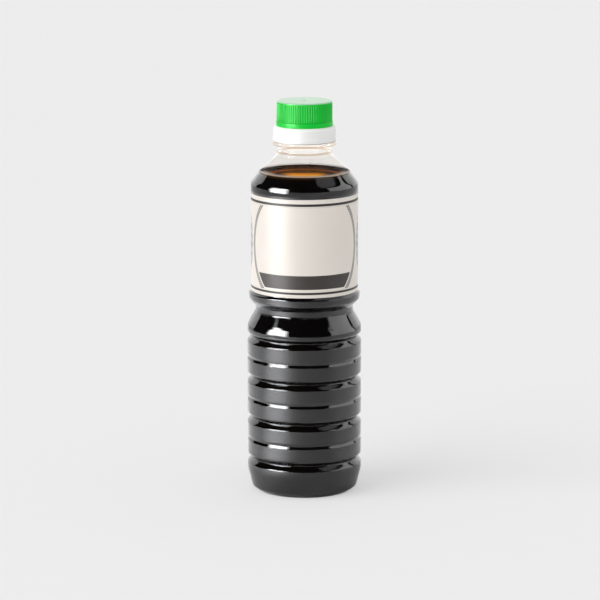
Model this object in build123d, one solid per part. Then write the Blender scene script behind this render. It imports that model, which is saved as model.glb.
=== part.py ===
"""Soy sauce bottle: a ribbed clear PET bottle, filled to its shoulder, with a wrap-around
label and a two-part cap.  Millimetres, +Z up, origin at the middle of the base."""
from build123d import *
import os
from math import atan2, cos, hypot, pi, sin, tan

# ---- Body: radii ------------------------------------------------------------------------
body_radius = 32.0            # over the ribs
wall = 0.5                    # PET wall of the body
panel_radius = 29.75          # recessed panel that carries the label
lower_bead_radius = 31.0      # bead under the label
shoulder_bead_radius = 29.9   # bead over the label
waist_radius = 27.4           # grip waist between the ribs and the lower bead
knee_radius = 23.5            # where the shoulder turns flatter

# ---- Body: heights and slopes -----------------------------------------------------------
first_groove_height = 18.85   # lowest deep groove
rib_pitch = 23.1              # one deep groove to the next
deep_groove_count = 4
dome_height = 11.65           # highest deep groove's edge to the waist
dome_corner = 3.5             # above its foot, where the dome's slope would start if sharp
waist_height = 3.0            # straight part of the waist
lower_bead_height = 8.4       # waist to label panel
lower_bead_rise = 4.0         # of which the slope up to the bead
bead_lip = 1.0                # short slope from each bead to the label panel
panel_height = 55.5           # label panel
shoulder_bead_height = 5.3    # label panel to the start of the shoulder
shoulder_angle = 39.5         # lower part of the shoulder, degrees away from upright
cone_angle = 47.0             # upper part of the shoulder

# ---- Body: roundings --------------------------------------------------------------------
dome_round = 11.5
waist_round = 1.1
lower_bead_round = 2.6
lip_round = 1.0
panel_round = 0.3
shoulder_round = 5.0          # bead into the shoulder
knee_round = 20.0
full_edge = 0.999             # share of an edge that two neighbouring roundings may take up

# ---- Grooves ----------------------------------------------------------------------------
deep_groove_depth = 2.3       # depth of the groove's middle
deep_groove_step = 0.9        # depth of the groove's outer step
deep_groove_half = 2.75       # half of its height
step_half = 1.57              # half of the height between the two steps
rib_round = 1.2               # edge of a deep groove
step_round = 0.4              # edge of its inner V
valley_round = 0.5            # bottom of its inner V
shallow_groove_depth = 0.75
shallow_groove_half = 1.45
shallow_rim_round = 0.9
shallow_valley_round = 0.7

# ---- Base -------------------------------------------------------------------------------
base_taper_height = 12.7      # the wall leaves the upright here
taper_round = 12.0
heel_radius = 29.4            # wall radius where the heel begins
heel_height = 2.45
heel_round = 2.0
contact_radius = 26.0         # outer edge of the ring that it stands on
contact_width = 4.0
contact_round = 1.5
punt_radius = 17.0            # raised middle of the base
punt_height = 4.0
punt_round = 4.0

# ---- Neck -------------------------------------------------------------------------------
neck_bore = 12.9
neck_wall = 1.85
finish_wall = 1.2             # wall above the flange, inside the collar
neck_foot_step = 0.95         # neck to the step at the top of the shoulder
neck_foot_height = 2.1
neck_foot_round = 1.2
neck_height = 3.9             # clear neck under the flange
bore_round = 2.0              # shoulder into the bore, inside
flange_reach = 3.05           # beyond the neck
flange_height = 1.7
flange_round = 0.5
finish_height = 7.0

# ---- Liquid, label ----------------------------------------------------------------------
liquid_level = 180.9
label_thickness = 0.15
label_margin = 0.3            # label edge to the end of its panel

# ---- Cap --------------------------------------------------------------------------------
collar_gap = 0.3              # flange to the collar's lower edge
collar_wall = 3.25            # round the neck finish
collar_foot_step = 0.25       # slightly wider band at its lower edge
collar_foot_height = 2.4
collar_height = 8.7
collar_round = 1.8            # rounding of its upper edge
small_round = 0.2             # edges that are only just broken
finish_clearance = 0.1        # radial, neck finish to collar
lid_radius = 15.75            # smooth band at the foot of the lid
lid_band_height = 2.6
lid_rib_radius = 15.5         # over the ribs
lid_rib_depth = 0.4
lid_rib_count = 72
lid_rib_gap = 0.6             # width of a groove between ribs, as a share of the pitch
lid_rib_zone = 8.8            # height of the ribs
lid_rim_radius = 15.3         # smooth rim over the ribs
lid_rim_height = 2.5
lid_edge_round = 0.9
gate_radius = 1.3             # moulding gate's dimple in the top
gate_depth = 0.3

# ---- Radii that follow ------------------------------------------------------------------
neck_radius = neck_bore + neck_wall
neck_foot_radius = neck_radius + neck_foot_step
flange_radius = neck_radius + flange_reach
finish_radius = neck_bore + finish_wall
collar_radius = finish_radius + collar_wall
collar_foot_radius = collar_radius + collar_foot_step

# ---- Heights that follow ----------------------------------------------------------------
deep_grooves = [first_groove_height + i * rib_pitch for i in range(deep_groove_count)]
dome_foot = deep_grooves[-1] + deep_groove_half
waist_bottom = dome_foot + dome_height
waist_top = waist_bottom + waist_height
panel_bottom = waist_top + lower_bead_height
panel_top = panel_bottom + panel_height
shoulder_foot = panel_top + shoulder_bead_height
knee = shoulder_foot + (shoulder_bead_radius - knee_radius) / tan(shoulder_angle * pi / 180)
cone_top = knee + (knee_radius - neck_foot_radius) / tan(cone_angle * pi / 180)
neck_bottom = cone_top + neck_foot_height
flange_bottom = neck_bottom + neck_height
flange_top = flange_bottom + flange_height
finish_top = flange_top + finish_height
collar_bottom = flange_top + collar_gap
lid_bottom = collar_bottom + collar_height
rib_bottom = lid_bottom + lid_band_height
rib_top = rib_bottom + lid_rib_zone
lid_top = rib_top + lid_rim_height


# ---- Outline: corners as (radius, height, rounding) -------------------------------------
def deep_groove(z):
    """A stepped V groove round the body."""
    step = body_radius - deep_groove_step
    return [
        (body_radius, z - deep_groove_half, rib_round),
        (step, z - step_half, step_round),
        (body_radius - deep_groove_depth, z, valley_round),
        (step, z + step_half, step_round),
        (body_radius, z + deep_groove_half, rib_round),
    ]


def shallow_groove(z):
    """A soft groove half way between two deep ones."""
    return [
        (body_radius, z - shallow_groove_half, shallow_rim_round),
        (body_radius - shallow_groove_depth, z, shallow_valley_round),
        (body_radius, z + shallow_groove_half, shallow_rim_round),
    ]


def body_corners():
    """The bottle's outline from the middle of the base to the top of the shoulder."""
    corners = [
        (0, punt_height, 0),
        (punt_radius, punt_height, punt_round),
        (contact_radius - contact_width, 0, contact_round),
        (contact_radius, 0, contact_round),
        (heel_radius, heel_height, heel_round),
        (body_radius, base_taper_height, taper_round),
    ]
    corners += deep_groove(deep_grooves[0])
    for z in deep_grooves[1:]:
        corners += shallow_groove(z - rib_pitch / 2) + deep_groove(z)
    return corners + [
        (body_radius, dome_foot + dome_corner, dome_round),
        (waist_radius, waist_bottom, waist_round),
        (waist_radius, waist_top, waist_round),
        (lower_bead_radius, waist_top + lower_bead_rise, lower_bead_round),
        (lower_bead_radius, panel_bottom - bead_lip, lip_round),
        (panel_radius, panel_bottom, panel_round),
        (panel_radius, panel_top, panel_round),
        (shoulder_bead_radius, panel_top + bead_lip, lip_round),
        (shoulder_bead_radius, shoulder_foot, shoulder_round),
        (knee_radius, knee, knee_round),
        (neck_foot_radius, cone_top, neck_foot_round),
    ]


def outer_corners():
    """The outline carried on over the step at the foot of the neck."""
    return body_corners() + [
        (neck_foot_radius, neck_bottom, panel_round),
        (neck_radius, neck_bottom, 0),
    ]


def inset_corners(corners, depth):
    """An outline moved inwards by depth, with its roundings kept concentric."""
    moved = []
    for i, (r, z, rounding) in enumerate(corners):
        before = corners[i - 1] if i else None
        after = corners[i + 1] if i + 1 < len(corners) else None
        arriving = atan2(z - before[1], r - before[0]) if before else 0
        leaving = atan2(after[1] - z, after[0] - r) if after else arriving
        turn = leaving - arriving
        middle = arriving + turn / 2
        reach = depth / cos(turn / 2)
        if rounding:
            rounding = max(rounding - depth, 0.05) if turn > 0 else rounding + depth
        moved.append((r - reach * sin(middle), z + reach * cos(middle), rounding))
    return moved


def inner_corners():
    """The hollow's outline: a wall's thickness inside, then up through the neck's bore."""
    inset = inset_corners(body_corners(), wall)
    r, z, rounding = inset.pop()
    bore_foot = z + (r - neck_bore) / tan(cone_angle * pi / 180)
    return inset + [(neck_bore, bore_foot, bore_round), (neck_bore, finish_top, 0)]


def fitted_roundings(corners):
    """Each corner's rounding, limited where two neighbours would need more than their edge."""
    roundings = [rounding for r, z, rounding in corners]
    reaches = [0.0] * len(corners)
    for i in range(1, len(corners) - 1):
        (r0, z0, _), (r, z, _), (r1, z1, _) = corners[i - 1:i + 2]
        turn = atan2(z1 - z, r1 - r) - atan2(z - z0, r - r0)
        half_turn = abs((turn + pi) % (2 * pi) - pi) / 2
        reaches[i] = roundings[i] * tan(half_turn)
    for i in range(len(corners) - 1):
        edge = hypot(corners[i + 1][0] - corners[i][0], corners[i + 1][1] - corners[i][1])
        needed = reaches[i] + reaches[i + 1]
        if needed > full_edge * edge:
            for j in (i, i + 1):
                roundings[j] *= full_edge * edge / needed
                reaches[j] *= full_edge * edge / needed
    return roundings


# ---- Solids -----------------------------------------------------------------------------
standing = (Align.CENTER, Align.CENTER, Align.MIN)


def column(radius, bottom, top):
    """Upright cylinder between two heights."""
    return Pos(0, 0, bottom) * Cylinder(radius, top - bottom, align=standing)


def turned(corners):
    """Solid of revolution inside an outline that starts on the axis."""
    points = [(r, z) for r, z, rounding in corners]
    path = FilletPolyline(*points, radius=fitted_roundings(corners)[1:-1])
    top = (0, points[-1][1])
    section = make_face([path, Line(points[-1], top), Line(top, points[0])])
    return revolve(Plane.XZ * section, Axis.Z)


def neck_form():
    """Clear neck, support flange and the finish that the cap sits on, as filled forms."""
    neck = column(neck_radius, neck_bottom - neck_foot_height, flange_bottom)
    flange = column(flange_radius, flange_bottom, flange_top)
    flange = fillet(flange.edges().filter_by(GeomType.CIRCLE), flange_round)
    finish = column(finish_radius, flange_bottom, finish_top)
    return neck + flange + finish


# ---- Bottle and what fills it -----------------------------------------------------------
hollow = turned(inner_corners())
bottle = turned(outer_corners()) + neck_form() - hollow
soy_sauce = hollow & column(body_radius, 0, liquid_level)

# ---- Label: one turn round the panel ----------------------------------------------------
label_bottom = panel_bottom + label_margin
label_top = panel_top - label_margin
label = (column(panel_radius + label_thickness, label_bottom, label_top)
         - column(panel_radius, label_bottom, label_top))

# ---- Cap collar: sits on the top of the neck finish -------------------------------------
collar = column(collar_radius, collar_bottom, lid_bottom)
collar = fillet(collar.edges().group_by(Axis.Z)[-1], collar_round)
collar_foot = column(collar_foot_radius, collar_bottom, collar_bottom + collar_foot_height)
collar_foot = fillet(collar_foot.edges().filter_by(GeomType.CIRCLE), small_round)
finish_seat = column(finish_radius + finish_clearance, flange_top, finish_top)
cap_collar = collar + collar_foot - finish_seat

# ---- Cap lid: smooth foot, ribs, smooth rim ---------------------------------------------
lid_foot = column(lid_radius, lid_bottom, rib_bottom)
lid_foot = fillet(lid_foot.edges().group_by(Axis.Z)[-1], small_round)
notch_radius = pi * lid_rib_radius / lid_rib_count * lid_rib_gap
notch_centre = lid_rib_radius + notch_radius - lid_rib_depth
notches = PolarLocations(notch_centre, lid_rib_count) * Circle(notch_radius)
lid_ribs = Pos(0, 0, rib_bottom) * extrude(Circle(lid_rib_radius) - notches, lid_rib_zone)
lid_rim = column(lid_rim_radius, rib_top, lid_top)
lid_rim = fillet(lid_rim.edges().group_by(Axis.Z)[-1], lid_edge_round)
gate = column(gate_radius, lid_top - gate_depth, lid_top)
cap_lid = lid_foot + lid_ribs + lid_rim - gate

# ---- Files ------------------------------------------------------------------------------
nodes = {
    "bottle": bottle,
    "soy_sauce": soy_sauce,
    "label": label,
    "cap_collar": cap_collar,
    "cap_lid": cap_lid,
}
os.makedirs("parts", exist_ok=True)
for name, shape in nodes.items():
    export_step(shape, f"parts/{name}.step")
    print(name, len(shape.solids()), "solid", round(shape.volume / 1000, 2), "cm3")
print("height", round(lid_top, 2), "filled", round(soy_sauce.volume / 1000, 1), "ml")
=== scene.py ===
"""Soy sauce bottle: clear ribbed PET shell, dark soy sauce, wrap-around label, collar and ribbed lid."""
from math import atan, atan2, ceil, cos, exp, pi, radians, sin, sqrt, tan

import bmesh
import bpy
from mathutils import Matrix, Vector


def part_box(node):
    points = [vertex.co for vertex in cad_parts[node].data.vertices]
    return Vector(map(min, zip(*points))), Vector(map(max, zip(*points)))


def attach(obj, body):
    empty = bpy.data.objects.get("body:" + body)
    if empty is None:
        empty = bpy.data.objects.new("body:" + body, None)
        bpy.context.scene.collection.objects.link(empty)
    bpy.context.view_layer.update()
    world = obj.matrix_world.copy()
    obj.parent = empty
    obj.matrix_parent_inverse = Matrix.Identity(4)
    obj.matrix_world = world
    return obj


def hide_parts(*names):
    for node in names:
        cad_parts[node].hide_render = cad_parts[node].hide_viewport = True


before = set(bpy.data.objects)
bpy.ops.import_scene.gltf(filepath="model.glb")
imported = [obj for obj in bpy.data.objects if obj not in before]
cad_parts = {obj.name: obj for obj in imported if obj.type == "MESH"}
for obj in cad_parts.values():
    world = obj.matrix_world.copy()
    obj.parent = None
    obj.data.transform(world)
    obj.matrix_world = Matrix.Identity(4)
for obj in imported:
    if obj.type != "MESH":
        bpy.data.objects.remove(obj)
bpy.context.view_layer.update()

MM = 0.001


def mm_box(node):
    """A CAD node's box in millimetres: its outer radius, its bottom and its top."""
    low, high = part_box(node)
    return high[0] / MM, low[2] / MM, high[2] / MM


# ---- Sizes (mm): the frame's own boxes, then the outline's corners ---------------------------
body_radius, base, bottle_top = mm_box("bottle")
label_radius, label_bottom, label_top = mm_box("label")
collar_foot_radius, collar_bottom, collar_top = mm_box("cap_collar")
lid_radius, lid_bottom, lid_top = mm_box("cap_lid")
liquid_level = mm_box("soy_sauce")[2]

wall = 0.5
panel_radius = label_radius - 0.15
panel_bottom, panel_top = label_bottom - 0.3, label_top + 0.3
bead_radius, bead_lip = 31.0, 1.0
shoulder_bead_radius = 29.9
waist_radius, waist_bottom, waist_top = 27.4, panel_bottom - 11.4, panel_bottom - 8.4
dome_foot = waist_bottom - 11.65
shoulder_foot = panel_top + 5.3
knee_radius, neck_foot_radius = 23.5, 15.7
knee = shoulder_foot + (shoulder_bead_radius - knee_radius) / tan(radians(39.5))
cone_top = knee + (knee_radius - neck_foot_radius) / tan(radians(47))
neck_bottom = cone_top + 2.1
neck_radius, neck_bore = 14.75, 12.9
flange_radius, flange_bottom, flange_top = 17.8, neck_bottom + 3.9, neck_bottom + 5.6
finish_radius = 14.1
grooves = [18.85 + 23.1 * i for i in range(4)]


def deep_groove(z):
    return [(body_radius, z - 2.75, 1.2), (body_radius - 0.9, z - 1.57, 0.4), (body_radius - 2.3, z, 0.5),
            (body_radius - 0.9, z + 1.57, 0.4), (body_radius, z + 2.75, 1.2)]


def shallow_groove(z):
    return [(body_radius, z - 1.45, 0.9), (body_radius - 0.75, z, 0.7), (body_radius, z + 1.45, 0.9)]


def body_corners():
    """(radius, height, rounding) from the middle of the base to the top of the shoulder."""
    corners = [(0, 4, 0), (17, 4, 4), (22, 0, 1.5), (26, 0, 1.5), (29.4, 2.45, 2), (body_radius, 12.7, 12)]
    corners += deep_groove(grooves[0])
    for z in grooves[1:]:
        corners += shallow_groove(z - 11.55) + deep_groove(z)
    return corners + [
        (body_radius, dome_foot + 3.5, 11.5),
        (waist_radius, waist_bottom, 1.1),
        (waist_radius, waist_top, 1.1),
        (bead_radius, waist_top + 4, 2.6),
        (bead_radius, panel_bottom - bead_lip, 1.0),
        (panel_radius, panel_bottom, 0.3),
        (panel_radius, panel_top, 0.3),
        (shoulder_bead_radius, panel_top + bead_lip, 1.0),
        (shoulder_bead_radius, shoulder_foot, 5.0),
        (knee_radius, knee, 20.0),
        (neck_foot_radius, cone_top, 1.2),
    ]


def inset(corners, depth):
    """An outline moved inwards by depth, with its roundings kept concentric."""
    moved = []
    for i, (r, z, f) in enumerate(corners):
        before = corners[i - 1] if i else None
        after = corners[i + 1] if i + 1 < len(corners) else None
        arriving = atan2(z - before[1], r - before[0]) if before else 0
        leaving = atan2(after[1] - z, after[0] - r) if after else arriving
        turn = leaving - arriving
        middle = arriving + turn / 2
        reach = depth / cos(turn / 2)
        if f:
            f = max(f - depth, 0.05) if turn > 0 else f + depth
        moved.append((r - reach * sin(middle), z + reach * cos(middle), f))
    return moved


def rounded(corners, step=0.14):
    """Points along an outline with its corners rounded."""
    points = [corners[0][:2]]
    for (r0, z0, _), (r, z, f), (r1, z1, _) in zip(corners, corners[1:], corners[2:]):
        a, b = Vector((r - r0, z - z0)).normalized(), Vector((r1 - r, z1 - z)).normalized()
        turn = atan2(a.x * b.y - a.y * b.x, a.dot(b))
        if f == 0 or abs(turn) < 1e-4:
            points.append((r, z))
            continue
        back = f * tan(abs(turn) / 2)
        side = 1 if turn > 0 else -1
        start = Vector((r, z)) - a * back
        centre = start + Vector((-a.y, a.x)) * side * f
        arm = start - centre
        n = max(3, ceil(abs(turn) / step))
        for i in range(n + 1):
            c, s = cos(turn * i / n), sin(turn * i / n)
            points.append((centre.x + arm.x * c - arm.y * s, centre.y + arm.x * s + arm.y * c))
    return points + [corners[-1][:2]]


def finer(points):
    """The same outline with its long straights divided, closely where the dome is scalloped."""
    out = [points[0]]
    for (r0, z0), (r1, z1) in zip(points, points[1:]):
        near_dome = max(z0, z1) > dome_foot and min(z0, z1) < waist_bottom + 1
        n = max(1, ceil(sqrt((r1 - r0) ** 2 + (z1 - z0) ** 2) / (0.3 if near_dome else 2.0)))
        out += [(r0 + (r1 - r0) * i / n, z0 + (z1 - z0) * i / n) for i in range(1, n + 1)]
    return out


# ---- Scallops of the dome: five flat-ish panels over the ribs --------------------------------
panels = 5
first_crest = radians(-118.4)
panel_shift, panel_depth = 2.4, 0.35


def scallop(angle, z):
    """How far a panel lies inside the turned dome at this angle and height."""
    if not dome_foot < z < waist_bottom + 0.5:
        return 0.0
    line = body_radius + (waist_radius - body_radius) * (z - dome_foot - 3.5) / (waist_bottom - dome_foot - 3.5)
    turned = min(line, dome_outline(z))
    half = pi / panels
    off = (angle - first_crest) % (2 * half) - half
    reach = line + panel_shift - panel_depth
    cut = -panel_shift * cos(off) + sqrt(reach * reach - (panel_shift * sin(off)) ** 2)
    gap = turned - max(cut, waist_radius + 0.1)
    soft = 0.06
    return 0.5 * (gap + sqrt(gap * gap + soft * soft)) - 0.5 * soft if gap > -1 else 0.0


dome_points = [p for p in rounded(body_corners(), 0.03) if dome_foot - 3 < p[1] < waist_bottom + 2]


def dome_outline(z):
    """Radius of the turned dome at a height."""
    for (r0, z0), (r1, z1) in zip(dome_points, dome_points[1:]):
        if z0 <= z <= z1 and z1 > z0:
            return r0 + (r1 - r0) * (z - z0) / (z1 - z0)
    return body_radius


# ---- Meshes ----------------------------------------------------------------------------------
def link(name, verts, faces, sharp=32):
    mesh = bpy.data.meshes.new(name)
    mesh.from_pydata([(x * MM, y * MM, z * MM) for x, y, z in verts], [], faces)
    mesh.validate()
    piece = bpy.data.objects.new(name, mesh)
    bpy.context.scene.collection.objects.link(piece)
    bm = bmesh.new()
    bm.from_mesh(mesh)
    bmesh.ops.recalc_face_normals(bm, faces=bm.faces)
    bm.to_mesh(mesh)
    bm.free()
    mesh.polygons.foreach_set("use_smooth", [True] * len(mesh.polygons))
    mesh.set_sharp_from_angle(angle=radians(sharp))
    return piece


def turned(name, outline, segments=288, shape=None, sharp=32):
    """Closed mesh turned from an outline that starts and ends on the axis, or is a loop if it doesn't touch it.
    shape(radius, height, angle) gives the radius where the piece isn't quite round."""
    loop = outline[0][0] > 1e-6
    verts, rings = [], []
    for r, z in outline:
        if r < 1e-6:
            rings.append([len(verts)])
            verts.append((0, 0, z))
            continue
        ring = []
        for s in range(segments):
            angle = 2 * pi * s / segments - pi / 2
            q = shape(r, z, angle) if shape else r
            ring.append(len(verts))
            verts.append((q * cos(angle), q * sin(angle), z))
        rings.append(ring)
    faces = []
    for a, b in zip(rings, rings[1:] + ([rings[0]] if loop else [])):
        for s in range(segments):
            t = (s + 1) % segments
            if len(a) == 1 and len(b) == 1:
                break
            if len(a) == 1:
                faces.append((a[0], b[s], b[t]))
            elif len(b) == 1:
                faces.append((a[s], a[t], b[0]))
            else:
                faces.append((a[s], a[t], b[t], b[s]))
    return link(name, verts, faces, sharp)


def place(piece, node, material):
    piece.data.materials.clear()
    piece.data.materials.append(material)
    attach(piece, "root")
    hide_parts(node)
    return piece


# ---- Node materials --------------------------------------------------------------------------
class Look:
    """One node material with a Principled shader, and short names for the nodes that feed it."""

    def __init__(self, name, **values):
        self.material = bpy.data.materials.new(name)
        self.material.use_nodes = True
        self.tree = self.material.node_tree
        self.shader = self.tree.nodes["Principled BSDF"]
        self.output = self.tree.nodes["Material Output"]
        for key, value in values.items():
            self.shader.inputs[key.replace("_", " ")].default_value = value
        coordinates = self.tree.nodes.new("ShaderNodeTexCoord")
        split = self.tree.nodes.new("ShaderNodeSeparateXYZ")
        self.point = coordinates.outputs["Object"]
        self.tree.links.new(self.point, split.inputs[0])
        self.x, self.y, self.z = (self.math("MULTIPLY", split.outputs[i], 1000) for i in range(3))

    def put(self, value, socket):
        if isinstance(value, bpy.types.NodeSocket):
            self.tree.links.new(value, socket)
        else:
            socket.default_value = value

    def math(self, operation, *values, clamp=False):
        node = self.tree.nodes.new("ShaderNodeMath")
        node.operation, node.use_clamp = operation, clamp
        for value, socket in zip(values, node.inputs):
            self.put(value, socket)
        return node.outputs[0]

    def radius(self, cx=0.0, cy=0.0):
        dx, dy = self.math("SUBTRACT", self.x, cx), self.math("SUBTRACT", self.y, cy)
        return self.math("SQRT", self.math("ADD", self.math("MULTIPLY", dx, dx), self.math("MULTIPLY", dy, dy)))

    def step(self, value, start, end):
        """0 before start, 1 after end, smooth between; start may be over end."""
        node = self.tree.nodes.new("ShaderNodeMapRange")
        node.interpolation_type = "SMOOTHSTEP"
        flip = start > end
        low, high = (end, start) if flip else (start, end)
        self.put(value, node.inputs[0])
        for i, v in enumerate((low, high, 1.0 if flip else 0.0, 0.0 if flip else 1.0)):
            node.inputs[i + 1].default_value = v
        return node.outputs[0]

    def band(self, value, low, high, edge=0.08):
        return self.math("MULTIPLY", self.step(value, low - edge, low + edge), self.step(value, high + edge, high - edge))

    def mix(self, fac, a, b):
        node = self.tree.nodes.new("ShaderNodeMix")
        node.data_type = "RGBA"
        self.put(fac, node.inputs["Factor"])
        for value, socket in ((a, node.inputs["A"]), (b, node.inputs["B"])):
            pass
        colours = [s for s in node.inputs if s.type == "RGBA"]
        for value, socket in zip((a, b), colours):
            if isinstance(value, tuple):
                socket.default_value = (*value, 1.0)
            else:
                self.tree.links.new(value, socket)
        return next(s for s in node.outputs if s.type == "RGBA")

    def noise(self, scale, detail=2.0, stretch=(1, 1, 1)):
        mapping = self.tree.nodes.new("ShaderNodeMapping")
        mapping.inputs["Scale"].default_value = stretch
        self.tree.links.new(self.point, mapping.inputs["Vector"])
        node = self.tree.nodes.new("ShaderNodeTexNoise")
        node.inputs["Scale"].default_value = scale
        node.inputs["Detail"].default_value = detail
        self.tree.links.new(mapping.outputs[0], node.inputs["Vector"])
        return node.outputs["Fac"]

    def spread(self, value, low, high):
        """A noise value moved to a range."""
        return self.math("MULTIPLY_ADD", value, high - low, low)

    def bump(self, height, distance, strength=1.0):
        node = self.tree.nodes.new("ShaderNodeBump")
        node.inputs["Strength"].default_value = strength
        node.inputs["Distance"].default_value = distance
        self.tree.links.new(height, node.inputs["Height"])
        self.tree.links.new(node.outputs[0], self.shader.inputs["Normal"])

    def feed(self, value, name):
        self.put(value, self.shader.inputs[name])


def srgb(*values):
    """A colour as it reads on screen, 0 to 255, in linear light."""
    return tuple(((v / 255 + 0.055) / 1.055) ** 2.4 if v > 10 else v / 255 / 12.92 for v in values)


def pet_look():
    look = Look("clear_pet", Base_Color=(0.985, 0.985, 0.98, 1), Roughness=0.02, IOR=1.575,
                Transmission_Weight=1.0)
    look.feed(look.spread(look.noise(60, 3), 0.01, 0.03), "Roughness")
    clear = look.tree.nodes.new("ShaderNodeBsdfTransparent")
    # Painted shade: tan bands tinted into the clear plastic at the flange's foot and at the neck's foot.
    painted_rim_shade = look.math("MAXIMUM", look.band(look.z, flange_bottom - 0.2, flange_bottom + 0.5, 0.2),
                    look.band(look.z, neck_bottom - 0.5, neck_bottom + 0.3, 0.2))
    tint = look.mix(painted_rim_shade, (0.992, 0.985, 0.974), (0.86, 0.76, 0.66))
    look.tree.links.new(tint, clear.inputs[0])
    path = look.tree.nodes.new("ShaderNodeLightPath")
    mix = look.tree.nodes.new("ShaderNodeMixShader")
    neck = look.math("MULTIPLY", look.step(look.z, liquid_level - 0.2, liquid_level + 0.9), 0.92)
    look.tree.links.new(look.math("MAXIMUM", path.outputs["Is Shadow Ray"], neck), mix.inputs[0])
    look.tree.links.new(look.shader.outputs[0], mix.inputs[1])
    look.tree.links.new(clear.outputs[0], mix.inputs[2])
    look.tree.links.new(mix.outputs[0], look.output.inputs[0])
    return look.material


def sauce_look(fill_radius):
    """Near-black in bulk, with light painted in: a painted highlight along the meniscus, a painted red-brown glow
    just under the surface, and on the top a painted red-brown ring, a painted amber glow and pale painted highlights
    at its front and back edges.
    """
    look = Look("soy_sauce", Roughness=0.12, Specular_IOR_Level=0.0, IOR=1.38)
    black, brown = srgb(5, 5, 5), srgb(15, 11, 10)
    bulk = look.mix(look.noise(30, 3), black, brown)
    depth = look.math("SUBTRACT", liquid_level, look.z)
    # Painted light on the side: a pale painted highlight along the meniscus at the wall, then a painted red-brown
    # glow that fades into the near-black bulk by 2 mm under the surface.
    side = look.mix(look.step(depth, -0.3, 0.35), srgb(196, 176, 152), look.mix(look.step(depth, 0.2, 2.0), srgb(70, 48, 30), bulk))
    r = look.radius()
    top = look.mix(look.noise(45, 2), srgb(14, 10, 8), srgb(26, 18, 14))
    # Painted light: a red-brown ring on the top, 19.4 mm round a point 13.4 mm to the front of the axis.
    arc = look.math("ABSOLUTE", look.math("SUBTRACT", look.radius(0, -13.4), 19.4))
    top = look.mix(look.step(arc, 3.2, 0.6), top, srgb(134, 70, 28))
    # Painted light: an amber glow on the top's front middle, brighter towards the front edge.
    near = look.math("MULTIPLY", look.step(look.y, -4, -9), look.step(look.math("ABSOLUTE", look.x), 15, 6))
    glow = look.mix(look.step(look.y, -6, -15), srgb(168, 88, 10), srgb(234, 156, 46))
    top = look.mix(near, top, glow)
    # Painted highlight: pale along the top's front edge.
    painted_front_highlight = look.math("MULTIPLY", look.step(r, fill_radius - 5.6, fill_radius - 3.4), look.step(look.y, 4, -8))
    top = look.mix(painted_front_highlight, top, srgb(178, 162, 146))
    # Painted highlight: pale tan along the top's back edge.
    back = look.math("MULTIPLY", look.step(r, fill_radius - 1.0, fill_radius - 0.5), look.step(look.y, 10, 18))
    top = look.mix(back, top, srgb(236, 196, 146))
    on_top = look.math("MULTIPLY", look.step(r, fill_radius - 0.05, fill_radius - 0.3), look.step(depth, 1.1, 0.9))
    colour = look.mix(on_top, side, top)
    look.feed(colour, "Base Color")
    look.feed(look.spread(look.noise(20), 0.08, 0.16), "Roughness")
    return look.material


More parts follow.
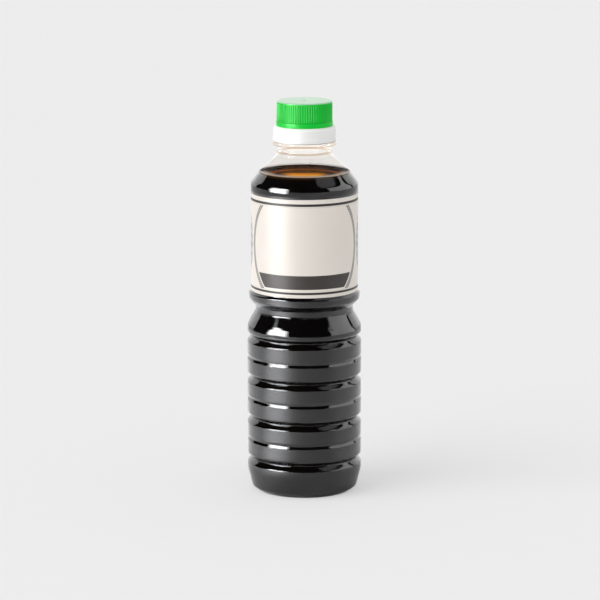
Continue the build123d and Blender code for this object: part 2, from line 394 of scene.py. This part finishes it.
def label_look():
    """Cream film with dark border lines, a rope ring, a bare dark banner and a stroke ornament."""
    look = Look("label_film", Roughness=0.4, Specular_IOR_Level=0.3, IOR=1.49)
    m = look.math
    u = m("MULTIPLY", m("ARCTAN2", look.x, m("MULTIPLY", look.y, -1)), label_radius)
    v = m("SUBTRACT", look.z, (label_bottom + label_top) / 2)
    half = (label_top - label_bottom) / 2
    field = look.mix(look.noise(90, 4), srgb(233, 226, 218), srgb(237, 231, 223))
    field = look.mix(look.math("MULTIPLY", look.noise(9, 2, (1, 1, 0.2)), 0.5), field, srgb(231, 222, 212))
    ink = look.mix(look.noise(220, 3), srgb(38, 34, 32), srgb(58, 53, 50))
    r = m("SQRT", m("ADD", m("MULTIPLY", u, u), m("MULTIPLY", v, v)))
    inside = look.band(v, -half + 3.9, half - 4.6, 0.02)
    # leafy stalks either side of the ring
    away = m("ABSOLUTE", u)
    stalks = None
    for middle, reach, tall in ((42.5, 4.6, 15.5), (51.5, 3.4, 12.0)):
        off = m("ABSOLUTE", m("SUBTRACT", away, middle))
        swell = m("SUBTRACT", 1, m("POWER", m("ABSOLUTE", m("DIVIDE", v, tall)), 2.0))
        width = m("MULTIPLY", m("MAXIMUM", swell, 0), reach)
        leaf = m("FRACT", m("DIVIDE", m("SUBTRACT", v, m("MULTIPLY", off, 2.1)), 5.2))
        leaf = m("MULTIPLY", look.band(leaf, 0.12, 0.62, 0.09), look.step(m("SUBTRACT", width, off), 0.0, 0.3))
        stem = m("MULTIPLY", look.step(off, 0.38, 0.2), look.step(m("ABSOLUTE", v), tall + 2, tall))
        one = m("MAXIMUM", leaf, stem)
        stalks = m("MAXIMUM", stalks, one) if stalks else one
    stalks = m("MULTIPLY", stalks, look.step(r, 37.0, 37.6))
    colour = look.mix(m("MULTIPLY", stalks, 0.8), field, srgb(76, 72, 70))
    # rope ring
    angle = m("ARCTAN2", v, u)
    twist = m("FRACT", m("ADD", m("MULTIPLY", angle, 35.5 / 1.25), m("MULTIPLY", r, 0.8)))
    rope = m("MULTIPLY", look.band(r, 34.6, 36.4, 0.1), look.band(twist, 0.15, 0.68, 0.1))
    edges = m("MAXIMUM", look.band(r, 34.45, 34.85, 0.06), look.band(r, 36.1, 36.5, 0.06))
    rope = m("MULTIPLY", m("MAXIMUM", rope, m("MULTIPLY", edges, 0.85)), inside)
    colour = look.mix(rope, colour, ink)
    # banner
    banner = m("MULTIPLY", look.band(v, -22.7, -15.0, 0.08), look.step(r, 33.6, 33.4))
    colour = look.mix(banner, colour, look.mix(look.noise(120, 3), srgb(58, 54, 51), srgb(68, 63, 60)))
    # border lines
    above, below = m("SUBTRACT", half, v), m("ADD", half, v)
    lines = m("MAXIMUM", look.band(above, 2.4, 3.8, 0.1), look.band(below, 1.85, 3.1, 0.1))
    fine = m("MAXIMUM", look.band(above, 4.3, 4.45, 0.1), look.band(below, 3.6, 3.75, 0.1))
    colour = look.mix(lines, colour, ink)
    colour = look.mix(m("MULTIPLY", fine, 0.45), colour, ink)
    # overlap seam at the back
    seam = look.step(away, 93.35, 93.6)
    colour = look.mix(m("MULTIPLY", seam, 0.35), colour, srgb(150, 140, 130))
    look.feed(colour, "Base Color")
    look.feed(look.spread(look.noise(140, 3), 0.34, 0.46), "Roughness")
    look.bump(m("ADD", m("MULTIPLY", look.noise(26, 3, (1, 1, 0.5)), 0.8), m("MULTIPLY", seam, 0.6)), 0.00012, 0.35)
    return look.material


def moulded_look(name, pale, deep, roughness, grain=0.25, grip=None, gloss=0.5):
    """Satin moulded plastic: slight shade variation, fine grain and softly varying gloss.
    grip(look, colour) may shade it further."""
    look = Look(name, Roughness=roughness, Specular_IOR_Level=gloss, IOR=1.49)
    colour = look.mix(look.noise(70, 4), pale, deep)
    look.feed(grip(look, colour) if grip else colour, "Base Color")
    look.feed(look.spread(look.noise(160, 3), roughness - 0.05, roughness + 0.07), "Roughness")
    look.bump(look.math("ADD", look.noise(1400, 2), look.math("MULTIPLY", look.noise(60, 2), 1.5)), 0.00004, grain)
    return look.material


# ---- The pieces ------------------------------------------------------------------------------
def sagged(r, z, angle):
    return r - scallop(angle, z)


outer = body_corners() + [(neck_foot_radius, neck_bottom, 0.3), (neck_radius, neck_bottom, 0.25),
                          (neck_radius, flange_bottom, 0.25), (flange_radius, flange_bottom, 0.5),
                          (flange_radius, flange_top, 0.5), (finish_radius, flange_top, 0),
                          (finish_radius, bottle_top, 0.3), (neck_bore, bottle_top, 0.2)]
inner = inset(body_corners(), wall)
r, z, _ = inner.pop()
bore_foot = z + (r - neck_bore) / tan(radians(47))
inner += [(neck_bore, bore_foot, 2.0), (neck_bore, bottle_top - 0.2, 0)]
shell = finer(rounded(outer)) + finer(rounded(inner))[::-1]
bottle = place(turned("bottle_shell", shell, 320, sagged), "bottle", pet_look())

skin = 0.12
into_wall = inset(body_corners(), wall - skin)
side = [p for p in finer(rounded(into_wall)) if p[1] < liquid_level]
edge = side[-1][0]
creep = [(edge - 3.5 + 3.5 * i / 14, liquid_level - 0.15 + 0.15 * exp((3.5 * i / 14 - 3.5) / 0.9)) for i in range(15)]
side = [p for p in side if p[1] < liquid_level - 0.1]
surface = creep[::-1] + [(edge - 3.5 - (edge - 3.5) * i / 10, liquid_level - 0.15) for i in range(1, 10)]
sauce = turned("soy_sauce_fill", side + surface + [(0, liquid_level - 0.15)], 320, sagged)
place(sauce, "soy_sauce", sauce_look(edge))

film = [(panel_radius, label_bottom), (label_radius - 0.03, label_bottom), (label_radius, label_bottom + 0.03),
        (label_radius, label_bottom + 10), (label_radius, label_top - 10),
        (label_radius, label_top - 0.03), (label_radius - 0.03, label_top), (panel_radius, label_top)]
place(turned("label_wrap", film, 320), "label", label_look())

seat = finish_radius + 0.1
collar_outline = rounded([(seat, collar_top - 1.9, 0), (seat, collar_bottom, 0), (collar_foot_radius, collar_bottom, 0.2),
                          (collar_foot_radius, collar_bottom + 2.4, 0.2), (17.35, collar_bottom + 2.4, 0.1),
                          (17.35, collar_top, 1.8), (0, collar_top, 0)], 0.1)
collar_outline = [(0, collar_top - 1.9)] + collar_outline



def shaded_foot(look, colour):
    """The collar's lower edge lies in the gap's shade above the flange."""
    shade = look.math("MULTIPLY", look.step(look.z, collar_bottom + 0.6, collar_bottom + 0.25), 0.8)
    return look.mix(shade, colour, srgb(132, 112, 98))


white = moulded_look("white_plastic", srgb(249, 249, 247), srgb(245, 245, 243), 0.46, grip=shaded_foot)
place(turned("collar", collar_outline, 288), "cap_collar", white)

rib_bottom, rib_top = lid_bottom + 2.6, lid_top - 1.3
ribs, rib_radius, rib_depth, rib_share = 72, lid_radius - 0.25, 0.25, 0.6


def ribbed(r, z, angle):
    """Rounded notches between the lid's ribs."""
    if not rib_bottom < z < rib_top:
        return r
    turn = ((angle / (2 * pi) * ribs) % 1) * 2 - 1
    across = turn / rib_share
    return r - rib_depth * sqrt(max(0.0, 1 - across * across)) if abs(across) < 1 else r


lid_outline = rounded([(0, lid_bottom, 0), (lid_radius, lid_bottom, 0.15), (lid_radius, rib_bottom, 0.2),
                       (rib_radius, rib_bottom, 0)], 0.2)
lid_outline += [(rib_radius - 0.08, rib_bottom + 0.01), (rib_radius, rib_bottom + 0.09)]
lid_outline += [(rib_radius, rib_bottom + (rib_top - rib_bottom) * i / 6) for i in range(1, 6)]
lid_outline += [(rib_radius, rib_top - 0.09), (rib_radius - 0.08, rib_top - 0.01)]
lid_outline += rounded([(rib_radius - 0.2, rib_top, 0), (rib_radius - 0.2, lid_top, 0.9), (1.45, lid_top, 0.15),
                        (1.15, lid_top - 0.3, 0.15), (0, lid_top - 0.3, 0)], 0.12)


def painted_notch_shade_and_top_sheen(look, colour):
    """Painted shade: deeper green in the notches between the ribs; and a pale painted sheen on the top."""
    turn = look.math("MULTIPLY", look.math("ARCTAN2", look.y, look.x), ribs / (2 * pi))
    # Painted shade in the notches between the ribs.
    notch_shade = look.step(look.math("ABSOLUTE", look.math("SUBTRACT", look.math("FRACT", turn), 0.5)), 0.34, 0.16)
    notch_shade = look.math("MULTIPLY", notch_shade, look.band(look.z, rib_bottom, rib_top, 0.1))
    colour = look.mix(look.math("MULTIPLY", notch_shade, 0.6), colour, srgb(0, 166, 42))
    # Painted sheen: the top face and its rounded edge paler.
    painted_top_sheen = look.math("MULTIPLY", look.step(look.z, lid_top - 0.9, lid_top - 0.3), look.spread(look.noise(25, 2), 0.72, 0.82))
    return look.mix(painted_top_sheen, colour, srgb(200, 212, 204))


green = moulded_look("green_plastic", srgb(8, 206, 60), srgb(4, 199, 53), 0.33, 0.06, painted_notch_shade_and_top_sheen, 0.2)
place(turned("lid", lid_outline, ribs * 12, ribbed, 40), "cap_lid", green)

# ---- Stage, light and camera -----------------------------------------------------------------
bm = bmesh.new()
bmesh.ops.create_grid(bm, x_segments=1, y_segments=1, size=8)
ground = bpy.data.meshes.new("floor")
bm.to_mesh(ground)
bm.free()
floor = bpy.data.objects.new("floor", ground)
bpy.context.scene.collection.objects.link(floor)
paper = Look("floor_paper", Roughness=0.9, Specular_IOR_Level=0.1)
paper.feed(paper.mix(paper.noise(3, 2), srgb(244, 244, 244), srgb(246, 246, 246)), "Base Color")
ground.materials.append(paper.material)


def lit_floor():
    """The floor's own light: half of what the camera sees of it, and the bright patch by the softbox for glossy rays."""
    tree = paper.tree
    path = tree.nodes.new("ShaderNodeLightPath")
    glow, mix, add = (tree.nodes.new(n) for n in ("ShaderNodeEmission", "ShaderNodeMixShader", "ShaderNodeAddShader"))
    glow.inputs[0].default_value = (0.865, 0.858, 0.86, 1)
    seen = paper.math("MULTIPLY_ADD", path.outputs["Is Camera Ray"], 0.55, path.outputs["Is Transmission Ray"])
    tree.links.new(seen, mix.inputs[0])
    # Painted light: the floor seen behind the clear shell glows 20% brighter, and 32% brighter for transmission rays.
    behind_shell = paper.math("GREATER_THAN", path.outputs["Transparent Depth"], 0.5)
    lift = paper.math("MULTIPLY_ADD", path.outputs["Is Transmission Ray"], 0.32, 1.0)
    tree.links.new(paper.math("MULTIPLY_ADD", behind_shell, 0.2, lift), glow.inputs["Strength"])
    tree.links.new(paper.shader.outputs[0], mix.inputs[1])
    tree.links.new(glow.outputs[0], mix.inputs[2])
    patch = tree.nodes.new("ShaderNodeEmission")
    way = paper.math("MULTIPLY", paper.math("ARCTAN2", paper.x, paper.math("MULTIPLY", paper.y, -1)), 180 / pi)
    off = paper.math("ABSOLUTE", paper.math("ADD", way, 57))
    near = paper.math("MULTIPLY", paper.math("POWER", paper.step(off, 60, 2), 2.2), 3.7)
    near = paper.math("ADD", near, paper.math("MULTIPLY", paper.step(off, 85, 5), 0.5))
    behind = paper.math("MULTIPLY", paper.band(way, -160, -95, 12), 0.7)
    right = paper.math("MULTIPLY", paper.step(way, 40, 75), 0.35)
    spread = paper.math("ADD", paper.math("ADD", near, behind), right)
    spread = paper.math("MULTIPLY", spread, paper.band(paper.radius(), 80, 830, 60))
    depth = paper.math("ADD", path.outputs["Transmission Depth"], path.outputs["Transparent Depth"])
    first = paper.math("MULTIPLY", path.outputs["Is Glossy Ray"], paper.math("LESS_THAN", depth, 0.5))
    patch.inputs["Color"].default_value = (0.97, 0.98, 1.02, 1)
    tree.links.new(paper.math("MULTIPLY", spread, first), patch.inputs[1])
    tree.links.new(mix.outputs[0], add.inputs[0])
    tree.links.new(patch.outputs[0], add.inputs[1])
    tree.links.new(add.outputs[0], paper.output.inputs[0])


lit_floor()

key_way = Vector((-0.843, -0.537, 0)) * cos(radians(40)) + Vector((0, 0, sin(radians(40))))
key = bpy.data.lights.new("key", "SUN")
key.energy, key.angle = 1.4, radians(50)
key_lamp = bpy.data.objects.new("key", key)
key_lamp.rotation_euler = key_way.to_track_quat("Z", "Y").to_euler()
key_lamp.visible_glossy = False
bpy.context.scene.collection.objects.link(key_lamp)


def card(name, azimuth, distance, width, bottom, top, strength):
    """Upright glowing panel that only reflections see."""
    a, half = radians(azimuth), width / 2
    way, across = Vector((sin(a), -cos(a), 0)), Vector((cos(a), sin(a), 0))
    corners = [way * distance + across * s * half + Vector((0, 0, h))
               for s, h in ((-1, bottom), (1, bottom), (1, top), (-1, top))]
    mesh = bpy.data.meshes.new(name)
    mesh.from_pydata([tuple(c) for c in corners], [], [(0, 1, 2, 3)])
    panel = bpy.data.objects.new(name, mesh)
    bpy.context.scene.collection.objects.link(panel)
    look = Look(name)
    side = look.math("ABSOLUTE", look.math("ADD", look.math("MULTIPLY", look.x, cos(a)), look.math("MULTIPLY", look.y, sin(a))))
    fade = look.math("MULTIPLY", look.step(side, half / MM, half / MM * 0.4), look.step(look.z, top / MM, top / MM * 0.8))
    path = look.tree.nodes.new("ShaderNodeLightPath")
    behind = look.math("ADD", path.outputs["Transmission Depth"], path.outputs["Transparent Depth"])
    fade = look.math("MULTIPLY", fade, look.math("LESS_THAN", behind, 0.5))
    emission = look.tree.nodes.new("ShaderNodeEmission")
    emission.inputs["Color"].default_value = (0.97, 0.98, 1.0, 1)
    look.put(look.math("MULTIPLY", fade, strength), emission.inputs["Strength"])
    look.put(emission.outputs[0], look.output.inputs[0])
    mesh.materials.append(look.material)
    panel.visible_camera = panel.visible_diffuse = panel.visible_transmission = panel.visible_shadow = False


card("softbox", -57.5, 0.9, 0.92, 0.055, 0.82, 24)


def studio():
    """World: even pale light, and for glossy rays the studio's panels by direction, with dark between."""
    world = bpy.data.worlds.new("studio")
    bpy.context.scene.world = world
    world.use_nodes = True
    tree = world.node_tree
    tree.nodes.clear()
    new, wire = tree.nodes.new, tree.links.new
    coordinates, split, path = new("ShaderNodeTexCoord"), new("ShaderNodeSeparateXYZ"), new("ShaderNodeLightPath")
    wire(coordinates.outputs["Generated"], split.inputs[0])

    def math(operation, *values):
        node = new("ShaderNodeMath")
        node.operation = operation
        for value, socket in zip(values, node.inputs):
            if isinstance(value, bpy.types.NodeSocket):
                wire(value, socket)
            else:
                socket.default_value = value
        return node.outputs[0]

    def ease(value, start, end):
        node = new("ShaderNodeMapRange")
        node.interpolation_type = "SMOOTHSTEP"
        wire(value, node.inputs[0])
        low, high = min(start, end), max(start, end)
        values = (low, high, 1.0, 0.0) if start > end else (low, high, 0.0, 1.0)
        for i, v in enumerate(values):
            node.inputs[i + 1].default_value = v
        return node.outputs[0]

    def window(value, low, high, soft):
        return math("MULTIPLY", ease(value, low - soft, low + soft), ease(value, high + soft, high - soft))

    x, y, z = split.outputs
    round_ = math("MULTIPLY", math("ARCTAN2", x, math("MULTIPLY", y, -1)), 180 / pi)
    height = math("MULTIPLY", math("ARCSINE", z), 180 / pi)
    low = window(height, -5, 40, 1.0)
    reflector = math("MULTIPLY", window(round_, 56, 121, 1.5), low)
    backdrop = math("MULTIPLY", ease(math("ABSOLUTE", round_), 126.5, 128), window(height, -5, 60, 4))
    ceiling = math("MULTIPLY", window(round_, 50, 130, 3), window(height, 47, 80, 2))
    glossy = math("ADD", 0.015, math("MULTIPLY", reflector, 2.3))
    glossy = math("ADD", glossy, math("MULTIPLY", ceiling, 0.7))
    glossy = math("ADD", glossy, math("MULTIPLY", backdrop, 1.5))
    seen = math("MAXIMUM", path.outputs["Is Camera Ray"], path.outputs["Is Transmission Ray"])
    depth = math("ADD", path.outputs["Transmission Depth"], path.outputs["Transparent Depth"])
    through = math("GREATER_THAN", depth, 0.5)
    plain = math("MULTIPLY_ADD", math("MAXIMUM", seen, through), 0.25, 0.62)
    inner = math("MULTIPLY", path.outputs["Is Glossy Ray"], through)
    plain = math("MULTIPLY", plain, math("SUBTRACT", 1, math("MULTIPLY", inner, 0.7)))
    outside = math("MULTIPLY", path.outputs["Is Glossy Ray"], math("SUBTRACT", 1, through))
    value = math("ADD", math("MULTIPLY", outside, glossy), math("MULTIPLY", math("SUBTRACT", 1, outside), plain))
    background, output = new("ShaderNodeBackground"), new("ShaderNodeOutputWorld")
    wire(value, background.inputs["Color"])
    wire(background.outputs[0], output.inputs[0])


studio()

camera = bpy.data.objects.new("camera", bpy.data.cameras.new("camera"))
camera.location = (-0.0025, -1.9, 0.4739)
camera.rotation_euler = (radians(79.09), 0, 0)
camera.data.sensor_width, camera.data.lens = 36, 207.24
camera.data.clip_end = 50
bpy.context.scene.collection.objects.link(camera)
bpy.context.scene.camera = camera
bpy.context.scene.view_settings.view_transform = "Standard"
